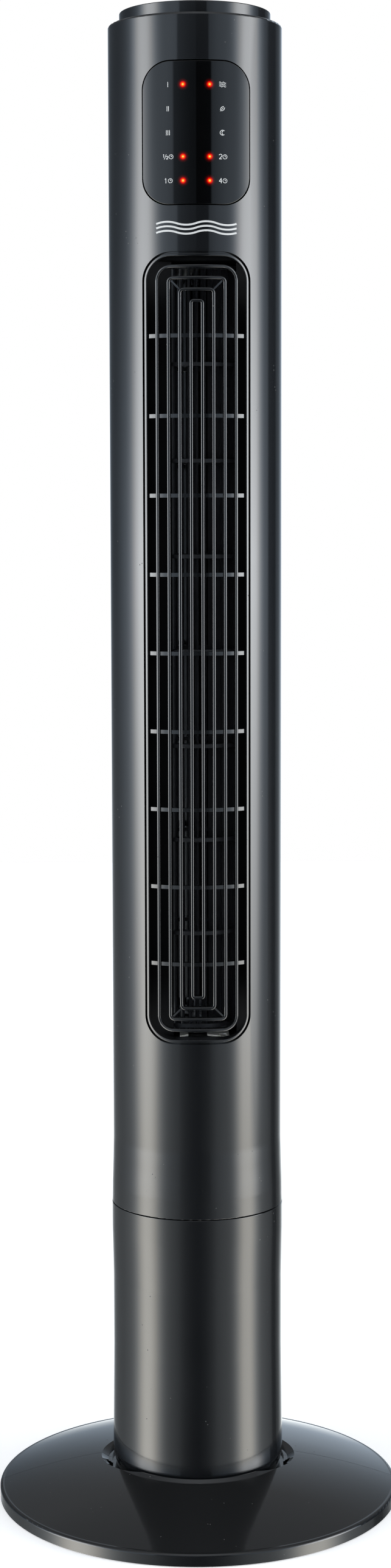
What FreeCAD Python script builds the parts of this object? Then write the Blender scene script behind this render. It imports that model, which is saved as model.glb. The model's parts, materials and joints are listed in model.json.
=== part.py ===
import FreeCAD, Part
import math
import os

# Oscillating tower fan on a round base, millimetres.
# +Z is up, the outlet faces -Y, and the origin is the centre of the base on the floor.
# The tower turns on the column at the seam. A cross-flow wheel stands inside the tower.

# ---- driving dimensions ----
HEIGHT = 1200.0
BASE_R = 164.5
TOWER_R = 68.7
SEAM_R = 70.0
SEAM_Z = 248.0
WALL = 2.6
SIDES = (-1, 1)
CORNER_ANGLES = (45, 135, 225, 315)
REACH = 200.0

# ---- clearances ----
MOVING_GAP = 0.3
RUNNING_GAP = 0.05
SEAM_GAP = 0.6
TRIM_GAP = 0.8
SEAT_GAP = 0.2
CUT = 1.0

# ---- base ----
RIM_LOW = 0.8
RIM_TOP_R = 161.0
RIM_TOP_Z = 10.8
COLLAR_FOOT_R = 74.5
COLLAR_FOOT_Z = 32.9
DOME_R = 117.8
DOME_Z = 26.0
DOME_ROUND = 440.0
COLLAR_R = 71.4
COLLAR_LIP = 0.8
COLLAR_TOP_Z = 35.7
BASE_SPLIT_Y = 1.5
BASE_SPLIT_GAP = 0.3
FLOOR_LOW = 23.0
CABLE_HOLE_R = 20.0
BASE_RIBS = 24
BASE_RIB_LOW = 4.0
BASE_RIB_HALF = 1.0
RING_RIB_LOW = 5.0
RING_RIB_R = 115.0
RIB_REACH = 40.0
FOOT_RING_R = 150.0
FOOT_ANGLES = (30, 90, 150, 210, 270, 330)
FOOT_R = 8.0
FOOT_BOSS_R = 9.0
FOOT_HEIGHT = 2.5
BASE_SCREW_R = 61.5
BASE_SCREW_TIP = 45.0

# ---- hollows of the base beside the column, and the latch tab in each ----
POCKET_X = 31.8
POCKET_Y = -2.5
POCKET_FLOOR = 28.5
POCKET_FOOT_R = 42.6
POCKET_SLOPE = 1.6
POCKET_DEPTH = 10.0
LATCH_SLOT = ((79.0, -5.5, 0), (72.6, -9.3, 0), (70.9, -14.0, 0.4), (69.2, -5.2, 0), (60.0, -5.2, 0),
              (50.0, -60.0, 0), (79.0, -60.0, 0))

# ---- column ----
COLUMN_LOW = 26.0
COLUMN_TOP = SEAM_Z - SEAM_GAP / 2
COLUMN_INNER_R = 66.6
COLUMN_FOOT_R = 67.6
COLUMN_HEEL_R = 70.15
COLUMN_WAIST_R = 69.25
COLUMN_BOSS_TOP = 50.0
CORD_Z = 58.0
CORD_HOLE_R = 5.5
CORD_R = 3.4
GLAND_FLANGE_R = 8.0

# ---- swivel ----
PLATE_LOW = 243.0
PLATE_TOP = 246.5
PLATE_SCREW_R = 62.6
PLATE_SCREW_TIP = 226.0
PLATE_BOSS_LOW = 214.0
POST_R = 18.0
POST_BORE_R = 13.0
POST_SCREW_R = 14.6
SLIDE_OUTER_R = 56.0
SLIDE_INNER_R = 44.0
TURNTABLE_LOW = 249.3
TURNTABLE_TOP = 252.3
TABLE_SCREW_R = 62.4
TABLE_BOSS_TOP = 270.0
SLEEVE_R = 22.0
SLEEVE_TOP = 262.0

# ---- swing drive ----
GEAR_MODULE = 0.9
PRESSURE_ANGLE = 20
BACKLASH = 0.2
RING_TEETH = 54
PINION_TEETH = 18
PINION_Y = GEAR_MODULE * (RING_TEETH + PINION_TEETH) / 2
GEAR_LOW = 262.8
GEAR_TOP = 269.0
GEAR_BORE_R = 16.0
SWING_SHAFT_R = 2.5
SWING_SHAFT_TOP = 280.0
SWING_MOTOR_LOW = 272.0
SWING_MOTOR_HEIGHT = 19.0
SWING_MOTOR_R = 14.0
SWING_SCREW_X = 17.5

# ---- tower housing ----
TOWER_LOW = SEAM_Z + SEAM_GAP / 2
SHOULDER_Z = 1190.0
CAP_SEAT_Z = SHOULDER_Z - WALL
TOWER_INNER_R = TOWER_R - WALL
FILL_R = TOWER_INNER_R - SEAT_GAP
SPLIT_Y = 3.0
CAP_R = 59.7
HOUSING_SCREW_X = 60.6
HOUSING_SCREW_Z = (300.0, 505.0, 725.0, 945.0, 1165.0)
HOUSING_SCREW_SEAT = 10.0
HOUSING_BOSS_R = 4.2
HOUSING_BOSS_FRONT = -10.0
HOUSING_BOSS_BACK = 40.0
WELL_R = 2.9
CORNER_BOSS_R = 4.6

# ---- air intake and carrying handle at the back ----
SLOT_WIDTH = 3.0
SLOT_STEP = 4.4
SLOT_COLUMNS = 25
SLOT_BANDS = 4
SLOT_BAND_HEIGHT = 143.0
SLOT_BAND_PITCH = 150.6
HANDLE_HALF = 44.0
HANDLE_LOW = 1075.0
HANDLE_HIGH = 1115.0
HANDLE_CORNER = 12.0
HANDLE_RIM = 2.5
HANDLE_FLOOR_Y = 42.0

# ---- outlet and its grille ----
OUTLET_HALF = 42.0
OUTLET_LOW = 390.2
OUTLET_HIGH = 1009.9
OUTLET_MID = (OUTLET_LOW + OUTLET_HIGH) / 2
OUTLET_CORNER = 21.7
FRAME_HALF = 40.5
FRAME_CORNER = 20.5
FRAME_WALL = 2.0
FRAME_END = 1.4
FRAME_LIP = 5.0
FRAME_ROUND = 0.45
FRAME_BACK_Y = -51.5
GRILLE_R = 68.0
BAR_BACK_R = 61.5
BAR_WIDTH = 2.7
BAR_ROUND = 1.15
BRACE_WIDTH = 1.3
LOOP_PITCH = 8.8
FIRST_LOOP_HALF = 4.35
FIRST_LOOP_INSET = 37.5
LOOP_CORNERS = (1.6, 2.9, 3.2, 10.5)
RIB_COUNT = 9
RIB_PITCH = 61.5
RIB_HEIGHT = 3.0
RIB_R = 66.2

# ---- air duct ----
DUCT_LOW = 390.6
DUCT_HIGH = 1004.5
DUCT_WALL = 2.0
DUCT_FRONT_Y = FRAME_BACK_Y + SEAT_GAP
DUCT_MOUTH_X = 39.0
PLATE = 3.0
SCROLL_FIRST = -25.0
SCROLL_LAST = 100.0
SCROLL_NEAR_R = 46.5
SCROLL_FAR_R = 56.0
SCROLL_STEPS = 12

# ---- fan motor ----
MOTOR_LOW = 338.0
MOTOR_HIGH = 374.0
MOTOR_END = 10.0
MOTOR_R = 36.0
ROTOR_R = 24.0
MOTOR_FINS = 18
SHAFT_R = 4.0
SHAFT_LOW = 323.0
SHAFT_TOP = 409.0
GROMMET_ANGLES = (90, 210, 330)
GROMMET_R = 26.0
GROMMET_LOW = 384.0
GROMMET_HOLE_R = 4.6
BRACKET_LOW = 391.5
BRACKET_TOP = 393.0
HUB_PASSAGE_R = 12.0

# ---- cross-flow wheel ----
WHEEL_Y = 8.0
WHEEL_R = 43.0
WHEEL_INNER_R = 34.0
WHEEL_SECTIONS = 8
WHEEL_PITCH = 75.3
WHEEL_DISC = 3.0
BLADE_COUNT = 40
BLADE_LEAN = 3.0
BLADE_BULGE = 1.6
BLADE_THICKNESS = 0.85
WHEEL_LOW = OUTLET_MID - WHEEL_PITCH * WHEEL_SECTIONS / 2 - WHEEL_DISC / 2
WHEEL_HIGH = OUTLET_MID + WHEEL_PITCH * WHEEL_SECTIONS / 2 + WHEEL_DISC / 2
HUB_R = 8.0
HUB_TOP = 414.0
HUB_SCREW_Z = 406.5
TOP_SHAFT_R = 3.0
BUSH_R = 5.5
BUSH_HEIGHT = 12.0

# ---- electronics of the lower tower ----
BOARD_FRONT_Y = -34.0
BOARD_BACK_Y = -32.4
BAY_FLOOR = 257.2

# ---- display ----
LENS_HALF = 41.4
LENS_LOW = 1045.1
LENS_HIGH = 1153.7
LENS_CORNER = 21.0
LENS_CURVE_R = 84.0
LENS_SETBACK = 0.5
LENS_ROUND = 0.4
LED_X = 10.3
LED_PITCH = 18.08
LED_MID_Z = 1099.4
LED_ROWS = 5
LED_R = 1.5
ICON_X = 21.0
DISPLAY_BOARD_Y = -52.0
DISPLAY_BOARD_BACK = -50.4
EYE_Z = LED_MID_Z - 43.0

# ---- cap and keys ----
KEYS = ("power", "speed", "mode", "timer", "swing")
KEY_PITCH = 19.0
KEY_Y = -22.0
KEY_R = 6.4
KEY_FLANGE = 1.3
KEY_DEPTH = 3.1
KEY_TRAVEL = 0.8
KEY_DISH_R = 30.0
KEY_RECESS = 1.0
CAP_SKIN = 2.8
SWITCH_TOP = 1191.4
BOARD_LOW = 1184.0
BOARD_TOP = 1185.6
BOARD_POSTS = ((-28.5, -8.0), (28.5, -8.0), (0.0, -8.0))


# ---- small helpers ----
def vector(x, y, z):
    return FreeCAD.Vector(x, y, z)


def rod(radius, low, high, x=0.0, y=0.0):
    """Upright cylinder."""
    return Part.makeCylinder(radius, high - low, vector(x, y, low))


def rod_y(radius, front, back, x, z):
    """Cylinder along Y."""
    return Part.makeCylinder(radius, back - front, vector(x, front, z), vector(0, 1, 0))


def tube(outer, inner, low, high, x=0.0, y=0.0):
    return rod(outer, low, high, x, y).cut(rod(inner, low - CUT, high + CUT, x, y))


def block(x0, x1, y0, y1, z0, z1):
    return Part.makeBox(x1 - x0, y1 - y0, z1 - z0, vector(x0, y0, z0))


def moved(shape, x, y, z):
    """Copy of a shape moved by an offset."""
    copy = shape.copy()
    copy.translate(vector(x, y, z))
    return copy


def turn(shape, degrees, x=0.0, y=0.0):
    """Copy of a shape turned about an upright axis."""
    copy = shape.copy()
    copy.rotate(vector(x, y, 0), vector(0, 0, 1), degrees)
    return copy


def around(shape, degrees_list, x=0.0, y=0.0):
    return [turn(shape, degrees, x, y) for degrees in degrees_list]


def joined(shapes):
    return shapes[0].multiFuse(shapes[1:]).removeSplitter()


def cut_by(shape, tools):
    """Shape with every tool taken out of it."""
    for tool in tools:
        shape = shape.cut(tool)
    return shape


def grouped(shapes):
    """Separate solids that share one node."""
    solids = []
    for shape in shapes:
        solids += shape.Solids
    return Part.makeCompound(solids)


def outline(corners):
    """Closed wire through (point, radius) corners, each rounded by its radius."""
    count = len(corners)
    pieces = []
    for index in range(count):
        point, radius = corners[index]
        to_before = (corners[index - 1][0] - point).normalize()
        to_after = (corners[(index + 1) % count][0] - point).normalize()
        if radius == 0:
            pieces.append((point, None, point))
            continue
        half = to_before.getAngle(to_after) / 2
        reach = radius / math.tan(half)
        inward = (to_before + to_after).normalize()
        middle = point + inward * (radius / math.sin(half) - radius)
        pieces.append((point + to_before * reach, middle, point + to_after * reach))
    edges = []
    for index in range(count):
        start, middle, end = pieces[index]
        following = pieces[(index + 1) % count][0]
        if middle is not None:
            edges.append(Part.Arc(start, middle, end).toShape())
        if end.distanceToPoint(following) > 1e-6:
            edges.append(Part.LineSegment(end, following).toShape())
    return Part.Wire(edges)


def turned(corners):
    """Solid of revolution about Z from (radius, z, corner radius) corners."""
    wire = outline([(vector(r, 0, z), corner) for r, z, corner in corners])
    return Part.Face(wire).revolve(vector(0, 0, 0), vector(0, 0, 1), 360)


def plan(corners, low, high):
    """Upright prism on (x, y, corner radius) corners."""
    wire = outline([(vector(x, y, low), corner) for x, y, corner in corners])
    return Part.Face(wire).extrude(vector(0, 0, high - low))


def slab(x0, x1, y0, y1, corner, low, high):
    """Upright prism on a rounded rectangle."""
    return plan([(x0, y0, corner), (x1, y0, corner), (x1, y1, corner), (x0, y1, corner)], low, high)


def racetrack(half, low, high, corner, front, back):
    """Prism along Y whose front view is a rounded upright rectangle."""
    places = ((-half, low), (half, low), (half, high), (-half, high))
    wire = outline([(vector(x, front, z), corner) for x, z in places])
    return Part.Face(wire).extrude(vector(0, back - front, 0))


def skin(outer, inner):
    """Tall tube that trims a piece to the curve of the tower."""
    return tube(outer, inner, SEAM_Z, HEIGHT)


def front_of(y):
    return block(-REACH, REACH, -REACH, y, -CUT, HEIGHT + CUT)


def behind(y):
    return block(-REACH, REACH, y, REACH, -CUT, HEIGHT + CUT)


def screw(shank_r, head_r, tip, seat, head_height, drive):
    """Upright screw whose head lies beyond its seat; drive cuts the cross recess into the head."""
    outward = 1 if seat > tip else -1
    end = seat + outward * head_height
    body = joined([rod(shank_r, min(tip, seat), max(tip, seat)), rod(head_r, min(seat, end), max(seat, end))])
    if not drive:
        return body
    arm, half = 0.6 * head_r, 0.14 * head_r
    floor = end - outward * 0.5 * head_height
    low, high = min(floor, end + outward * CUT), max(floor, end + outward * CUT)
    return cut_by(body, [block(-arm, arm, -half, half, low, high), block(-half, half, -arm, arm, low, high)])


def lying(shape, x, z):
    """Upright screw laid along Y, its upper end to the back, at x and z."""
    copy = shape.copy()
    copy.rotate(vector(0, 0, 0), vector(1, 0, 0), -90)
    copy.translate(vector(x, 0, z))
    return copy


# ---- base ----
def base_outer():
    return turned([
        (0, RIM_LOW, 0),
        (BASE_R, RIM_LOW, 0),
        (BASE_R, RIM_TOP_Z, 2.5),
        (RIM_TOP_R, RIM_TOP_Z + 0.1, 2.0),
        (DOME_R, DOME_Z, DOME_ROUND),
        (COLLAR_FOOT_R, COLLAR_FOOT_Z, 1.0),
        (COLLAR_R + COLLAR_LIP, COLLAR_TOP_Z, 0.3),
        (COLLAR_R, COLLAR_TOP_Z, 0),
        (COLLAR_R, COLUMN_LOW, 0),
        (0, COLUMN_LOW, 0),
    ])


def base_hollow():
    return turned([
        (0, RIM_LOW - CUT, 0),
        (BASE_R - WALL, RIM_LOW - CUT, 0),
        (BASE_R - WALL, RIM_TOP_Z - WALL, 0),
        (DOME_R, DOME_Z - WALL, DOME_ROUND),
        (COLLAR_FOOT_R + 2.0, COLLAR_FOOT_Z - WALL - 0.5, 0),
        (COLLAR_FOOT_R + 1.0, FLOOR_LOW, 0),
        (0, FLOOR_LOW, 0),
    ])


def pocket(side, thicker):
    """Round cone that hollows the base beside the column, or its skin when thicker."""
    foot = POCKET_FOOT_R + thicker
    place = vector(side * POCKET_X, POCKET_Y, POCKET_FLOOR - thicker)
    return Part.makeCone(foot, foot + POCKET_SLOPE * POCKET_DEPTH, POCKET_DEPTH, place)


def latch_slot(side):
    """Opening in front of the notched tab where the two base halves latch."""
    corners = [(side * x, y, corner) for x, y, corner in LATCH_SLOT]
    slot = plan(corners, COLUMN_LOW + SEAT_GAP, COLLAR_TOP_Z)
    within = rod(POCKET_FOOT_R + 2.0, FLOOR_LOW, COLLAR_TOP_Z + CUT, side * POCKET_X, POCKET_Y)
    return slot.common(within).cut(rod(COLLAR_R, 0, COLUMN_BOSS_TOP))


def foot_places():
    angles = [math.radians(angle) for angle in FOOT_ANGLES]
    return [(FOOT_RING_R * math.cos(angle), FOOT_RING_R * math.sin(angle)) for angle in angles]


def base_ribs():
    """Radial ribs, two ring ribs and the foot bosses under the base."""
    ring = tube(RING_RIB_R + BASE_RIB_HALF, RING_RIB_R - BASE_RIB_HALF, RING_RIB_LOW, RIB_REACH)
    collar = tube(COLLAR_FOOT_R + 2.6, COLLAR_FOOT_R + 0.6, RING_RIB_LOW, RIB_REACH)
    rib = block(COLLAR_FOOT_R + 1.2, BASE_R - 1.0, -BASE_RIB_HALF, BASE_RIB_HALF, BASE_RIB_LOW, RIB_REACH)
    step = 360 / BASE_RIBS
    ribs = around(rib, [step * (index + 0.5) for index in range(BASE_RIBS)])
    bosses = [rod(FOOT_BOSS_R, FOOT_HEIGHT, FLOOR_LOW, x, y) for x, y in foot_places()]
    return [ring, collar] + ribs + bosses


def base_whole():
    outer = base_outer()
    hollow = base_hollow()
    for side in SIDES:
        outer = outer.cut(pocket(side, 0).cut(rod(COLLAR_R - SEAT_GAP, 0, COLUMN_BOSS_TOP)))
        hollow = hollow.cut(pocket(side, WALL))
    ribs = joined(base_ribs()).common(hollow)
    shell = joined([outer.cut(hollow), ribs])
    return cut_by(shell, [rod(CABLE_HOLE_R, 0, RIB_REACH)] + base_screws())


def base_screws(drive=False):
    """Screws from below that hold the base halves to the column."""
    upright = screw(1.8, 4.0, BASE_SCREW_TIP, FLOOR_LOW, 2.4, drive)
    return around(moved(upright, BASE_SCREW_R, 0, 0), CORNER_ANGLES)


def base_feet():
    """Soft pads, chamfered where they meet the floor."""
    pad = turned([(0, 0, 0), (FOOT_R - 0.5, 0, 0), (FOOT_R, 0.5, 0), (FOOT_R, FOOT_HEIGHT, 0), (0, FOOT_HEIGHT, 0)])
    return [moved(pad, x, y, 0) for x, y in foot_places()]


# ---- column ----
def column_whole():
    shell = turned([
        (COLUMN_INNER_R, COLUMN_LOW, 0),
        (COLUMN_FOOT_R, COLUMN_LOW, 0),
        (COLUMN_HEEL_R, 37.0, 10.0),
        (COLUMN_HEEL_R - 0.05, 52.0, 300.0),
        (COLUMN_WAIST_R, 128.0, 300.0),
        (COLUMN_WAIST_R, 186.0, 100.0),
        (SEAM_R, PLATE_SCREW_TIP, 200.0),
        (SEAM_R, COLUMN_TOP, 0.4),
        (SEAM_R - WALL, COLUMN_TOP, 0),
        (SEAM_R - WALL, PLATE_SCREW_TIP, 0),
        (COLUMN_INNER_R, 190.0, 0),
    ])
    bosses = around(rod(CORNER_BOSS_R, COLUMN_LOW, COLUMN_BOSS_TOP, BASE_SCREW_R + 1.0, 0), CORNER_ANGLES)
    bosses += around(rod(4.4, PLATE_BOSS_LOW, PLATE_LOW, PLATE_SCREW_R + 1.4, 0), CORNER_ANGLES)
    shell = cut_by(joined([shell] + bosses), base_screws() + plate_screws())
    return shell.cut(rod_y(CORD_HOLE_R, 50, 80, 0, CORD_Z))


def cord_gland():
    """Bush in the back of the column that the mains lead passes through."""
    body = joined([rod_y(CORD_HOLE_R, 62.0, 70.2, 0, CORD_Z), rod_y(GLAND_FLANGE_R, 70.2, 72.6, 0, CORD_Z)])
    inside = rod(COLUMN_HEEL_R, COLLAR_TOP_Z, 80)
    body = body.cut(inside.cut(rod_y(CORD_HOLE_R, 0, 90, 0, CORD_Z)))
    return body.cut(rod_y(CORD_R, 50, 80, 0, CORD_Z))


# ---- swivel ----
def plate_screws(drive=False):
    upright = screw(1.6, 3.2, PLATE_SCREW_TIP, PLATE_TOP, 1.8, drive)
    return around(moved(upright, PLATE_SCREW_R, 0, 0), CORNER_ANGLES)


def post_screws(drive=False):
    """Four screws whose heads clamp the fixed gear onto the post."""
    upright = screw(1.2, 2.5, GEAR_TOP - 14, GEAR_TOP, 1.6, drive)
    return around(moved(upright, POST_SCREW_R, 0, 0), (0, 90, 180, 270))


def swivel_plate():
    """Fixed plate on the column with the hollow post that the tower turns on."""
    rim = SEAM_R - WALL - MOVING_GAP
    body = turned([
        (POST_BORE_R, PLATE_LOW, 0),
        (rim, PLATE_LOW, 0),
        (rim, PLATE_TOP, 0.5),
        (POST_R + 4, PLATE_TOP, 0),
        (POST_R, PLATE_TOP + 2, 0),
        (POST_R, GEAR_LOW, 0),
        (GEAR_BORE_R, GEAR_LOW, 0),
        (GEAR_BORE_R, GEAR_TOP, 0),
        (POST_BORE_R, GEAR_TOP, 0),
    ])
    return cut_by(body, plate_screws() + post_screws())


def slide_ring():
    """Low-friction washer under the turntable."""
    ring = tube(SLIDE_OUTER_R, SLIDE_INNER_R, PLATE_TOP, TURNTABLE_LOW - MOVING_GAP)
    notch = block(SLIDE_INNER_R - 1, SLIDE_INNER_R + 3, -2, 2, PLATE_TOP, PLATE_TOP + 5)
    return cut_by(ring, around(notch, range(0, 360, 60)))


def involute(angle):
    return math.tan(angle) - angle


def gear(teeth, bore, low, high, y, phase):
    """Involute spur gear with thinned teeth; phase turns one tooth onto that angle."""
    pressure = math.radians(PRESSURE_ANGLE)
    pitch_r = GEAR_MODULE * teeth / 2
    base_r = pitch_r * math.cos(pressure)
    root_r = pitch_r - 1.25 * GEAR_MODULE
    tip_r = pitch_r + GEAR_MODULE
    start_r = max(base_r, root_r)
    flank = []
    for step in range(5):
        radius = start_r + (tip_r - start_r) * step / 4
        turn_away = involute(math.acos(base_r / radius)) if radius > base_r else 0.0
        half = math.pi / (2 * teeth) + involute(pressure) - turn_away - BACKLASH / (2 * pitch_r)
        flank.append((radius, half))
    if root_r < start_r:
        flank.insert(0, (root_r, flank[0][1]))
    points = []
    for tooth in range(teeth):
        middle = math.radians(phase) + 2 * math.pi * tooth / teeth
        for radius, half in flank:
            points.append((radius * math.cos(middle - half), y + radius * math.sin(middle - half), 0))
        for radius, half in reversed(flank):
            points.append((radius * math.cos(middle + half), y + radius * math.sin(middle + half), 0))
    return plan(points, low, high).cut(rod(bore, low - CUT, high + CUT, 0, y))


def swing_gear():
    toothed = gear(RING_TEETH, GEAR_BORE_R, GEAR_LOW, GEAR_TOP, 0, 0)
    return cut_by(toothed, post_screws())


def swing_pinion():
    return gear(PINION_TEETH, SWING_SHAFT_R, GEAR_LOW + SEAT_GAP, GEAR_TOP - SEAT_GAP, PINION_Y,
                180 / PINION_TEETH)


def swing_shaft():
    return rod(SWING_SHAFT_R, GEAR_LOW, SWING_SHAFT_TOP, 0, PINION_Y)


def swing_motor_screws(drive=False):
    upright = screw(1.5, 2.8, SLEEVE_TOP, SWING_MOTOR_LOW + 1, 1.6, drive)
    return [moved(upright, side * SWING_SCREW_X, PINION_Y, 0) for side in SIDES]


def swing_motor():
    """Geared stepper motor that hangs over the turntable with its shaft down."""
    low = SWING_MOTOR_LOW
    can = rod(SWING_MOTOR_R, low, low + SWING_MOTOR_HEIGHT, 0, PINION_Y)
    ear = slab(-SWING_SCREW_X - 3.5, SWING_SCREW_X + 3.5, PINION_Y - 3.5, PINION_Y + 3.5, 3.4, low, low + 1)
    plug = block(-7.5, 7.5, PINION_Y + 10, PINION_Y + 17, low + 2, low + 17)
    bore = rod(SWING_SHAFT_R + RUNNING_GAP, low - CUT, SWING_SHAFT_TOP + MOVING_GAP, 0, PINION_Y)
    return cut_by(joined([can, ear, plug]), swing_motor_screws() + [bore])


def turntable_screws(drive=False):
    upright = screw(1.6, 3.2, TURNTABLE_TOP + 14, TURNTABLE_TOP - SEAT_GAP, 1.8, drive)
    return around(moved(upright, TABLE_SCREW_R, 0, 0), CORNER_ANGLES)


def turntable():
    """Floor of the tower with the sleeve that runs on the post."""
    disc = rod(SEAM_R - WALL - 0.4, TURNTABLE_LOW, TURNTABLE_TOP)
    sleeve = rod(SLEEVE_R, TURNTABLE_LOW, SLEEVE_TOP)
    posts = [rod(4.0, TURNTABLE_LOW, SWING_MOTOR_LOW, side * SWING_SCREW_X, PINION_Y) for side in SIDES]
    web = block(SLEEVE_R - 0.5, SLIDE_OUTER_R, -1, 1, TURNTABLE_TOP - 0.5, BAY_FLOOR - SEAT_GAP)
    body = joined([disc, sleeve] + posts + around(web, (0, 180, 222, 270, 318)))
    post_room = rod(POST_R + RUNNING_GAP, TURNTABLE_LOW - CUT, SWING_MOTOR_LOW)
    pinion_room = rod(10.0, SLEEVE_TOP - 5, SWING_MOTOR_LOW - 0.5, 0, PINION_Y)
    gear_room = rod(26.0, GEAR_LOW - 0.5, SWING_MOTOR_LOW - 0.5)
    heads = around(rod(3.4, TURNTABLE_LOW - CUT, TURNTABLE_TOP - SEAT_GAP, TABLE_SCREW_R, 0), CORNER_ANGLES)
    return cut_by(body, [post_room, pinion_room, gear_room] + heads + turntable_screws() + swing_motor_screws())


# ---- tower housing ----
def tower_shell():
    return turned([
        (SEAM_R - 0.05, TOWER_LOW, 0.4),
        (SEAM_R - 0.3, 264.0, 150.0),
        (TOWER_R, 302.0, 150.0),
        (TOWER_R, SHOULDER_Z, 2.0),
        (CAP_R + MOVING_GAP, SHOULDER_Z, 0.3),
        (CAP_R + MOVING_GAP, CAP_SEAT_Z, 0),
        (TOWER_INNER_R, CAP_SEAT_Z, 0),
        (TOWER_INNER_R, 304.0, 0),
        (SEAM_R - WALL, 262.0, 0),
        (SEAM_R - WALL, TOWER_LOW, 0),
    ])


def housing_screws(drive=False):
    upright = screw(1.5, 2.7, HOUSING_BOSS_FRONT + 3, HOUSING_SCREW_SEAT, 2.4, drive)
    return [lying(upright, side * HOUSING_SCREW_X, z) for z in HOUSING_SCREW_Z for side in SIDES]


def corner_bosses(angles):
    """Bosses at the foot of the tower for the turntable's screws."""
    return around(rod(CORNER_BOSS_R, TURNTABLE_TOP, TABLE_BOSS_TOP, TABLE_SCREW_R + 0.8, 0), angles)


def front_bosses():
    bosses = corner_bosses((225, 315))
    for z in HOUSING_SCREW_Z:
        for side in SIDES:
            web = block(60, 67, HOUSING_BOSS_FRONT, SPLIT_Y, z - 1, z + 1)
            if side < 0:
                web = web.mirror(vector(0, 0, 0), vector(1, 0, 0))
            bosses += [rod_y(HOUSING_BOSS_R, HOUSING_BOSS_FRONT, SPLIT_Y, side * HOUSING_SCREW_X, z), web]
    return bosses


def rear_bosses():
    bosses = corner_bosses((45, 135))
    for z in HOUSING_SCREW_Z:
        for side in SIDES:
            bosses.append(rod_y(HOUSING_BOSS_R, SPLIT_Y, HOUSING_BOSS_BACK, side * HOUSING_SCREW_X, z))
    return bosses


def housing_half(shell, bosses, region):
    """One half of the tower shell with its bosses trimmed to the outer skin."""
    limit = rod(TOWER_R - 1.0, TURNTABLE_TOP, CAP_SEAT_Z)
    body = joined([shell.common(region)] + [boss.common(limit) for boss in bosses])
    return cut_by(body, housing_screws() + turntable_screws())


def front_housing(shell):
    body = housing_half(shell, front_bosses(), front_of(SPLIT_Y))
    outlet = racetrack(OUTLET_HALF, OUTLET_LOW, OUTLET_HIGH, OUTLET_CORNER, -80, -20)
    gap = TRIM_GAP / 2
    window = racetrack(LENS_HALF + gap, LENS_LOW - gap, LENS_HIGH + gap, LENS_CORNER, -80, -20)
    return cut_by(body, [outlet, window])


def intake_slots():
    """Fine upright slots that let the air in at the back."""
    slots = []
    first_mid = OUTLET_MID - SLOT_BAND_PITCH * (SLOT_BANDS - 1) / 2
    for band in range(SLOT_BANDS):
        low = first_mid + band * SLOT_BAND_PITCH - SLOT_BAND_HEIGHT / 2
        slot = racetrack(SLOT_WIDTH / 2, low, low + SLOT_BAND_HEIGHT, SLOT_WIDTH / 2 - 0.05, 55, 80)
        for column in range(SLOT_COLUMNS):
            slots.append(turn(slot, (column - (SLOT_COLUMNS - 1) / 2) * SLOT_STEP))
    return slots


def rear_housing(shell):
    body = housing_half(shell, rear_bosses(), behind(SPLIT_Y))
    body = body.cut(racetrack(HANDLE_HALF, HANDLE_LOW, HANDLE_HIGH, HANDLE_CORNER, 30, 80))
    wells = [rod_y(WELL_R, HOUSING_SCREW_SEAT, HOUSING_BOSS_BACK + 5, side * HOUSING_SCREW_X, z)
             for z in HOUSING_SCREW_Z for side in SIDES]
    return body.cut(Part.makeCompound(wells + intake_slots()))


def handle_outline(grow, front):
    """Prism on the handle's outline, larger by grow, that starts at front."""
    return racetrack(HANDLE_HALF + grow, HANDLE_LOW - grow, HANDLE_HIGH + grow, HANDLE_CORNER + grow, front, 80)


def carry_handle():
    """Recessed grip let into the back of the tower."""
    cup = handle_outline(-SEAT_GAP, HANDLE_FLOOR_Y).common(rod(TOWER_R + 0.6, SEAM_Z, HEIGHT))
    rim = handle_outline(HANDLE_RIM, HANDLE_FLOOR_Y).common(skin(TOWER_R + 1.0, TOWER_R + 0.02))
    return joined([cup, rim]).cut(handle_outline(-2.4, HANDLE_FLOOR_Y + 2.2))


# ---- outlet grille ----
def rounded_front(shape, outer_radius, fillet):
    """Round the edges that lie on the front cylinder."""
    edges = []
    for edge in shape.Edges:
        middle = edge.valueAt((edge.FirstParameter + edge.LastParameter) / 2)
        if abs(math.hypot(middle.x, middle.y) - outer_radius) < 0.01:
            edges.append(edge)
    return shape.makeFillet(fillet, edges)


def grille_loop(index):
    half = FIRST_LOOP_HALF + index * LOOP_PITCH
    low = OUTLET_LOW + FIRST_LOOP_INSET - index * LOOP_PITCH
    high = OUTLET_HIGH - FIRST_LOOP_INSET + index * LOOP_PITCH
    corner = LOOP_CORNERS[index]
    out = BAR_WIDTH / 2
    outer = racetrack(half + out, low - out, high + out, corner + out, -80, -30)
    inner = racetrack(half - out, low + out, high - out, max(corner - out, 0.25), -80, -30)
    bar = outer.cut(inner).common(tube(GRILLE_R, BAR_BACK_R, OUTLET_LOW, OUTLET_HIGH))
    return rounded_front(bar, GRILLE_R, BAR_ROUND)


def grille_frame():
    """Rim of the grille with a lip above and below that hooks behind the housing."""
    low = OUTLET_LOW + FRAME_END
    high = OUTLET_HIGH - FRAME_END
    face_r = GRILLE_R + SEAT_GAP
    outer = racetrack(FRAME_HALF, low, high, FRAME_CORNER, -80, FRAME_BACK_Y)
    inner = racetrack(FRAME_HALF - FRAME_WALL, low + FRAME_WALL, high - FRAME_WALL, FRAME_CORNER - FRAME_WALL,
                      -80, -40)
    wall = outer.cut(inner).common(rod(face_r, SEAM_Z, HEIGHT))
    wall = rounded_front(wall, face_r, FRAME_ROUND)
    lip = racetrack(FRAME_HALF, low - FRAME_LIP, high + FRAME_LIP, FRAME_CORNER, -80, FRAME_BACK_Y)
    lip = lip.common(skin(TOWER_INNER_R - 0.05, TOWER_INNER_R - 2)).cut(inner)
    return joined([wall, lip])


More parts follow.
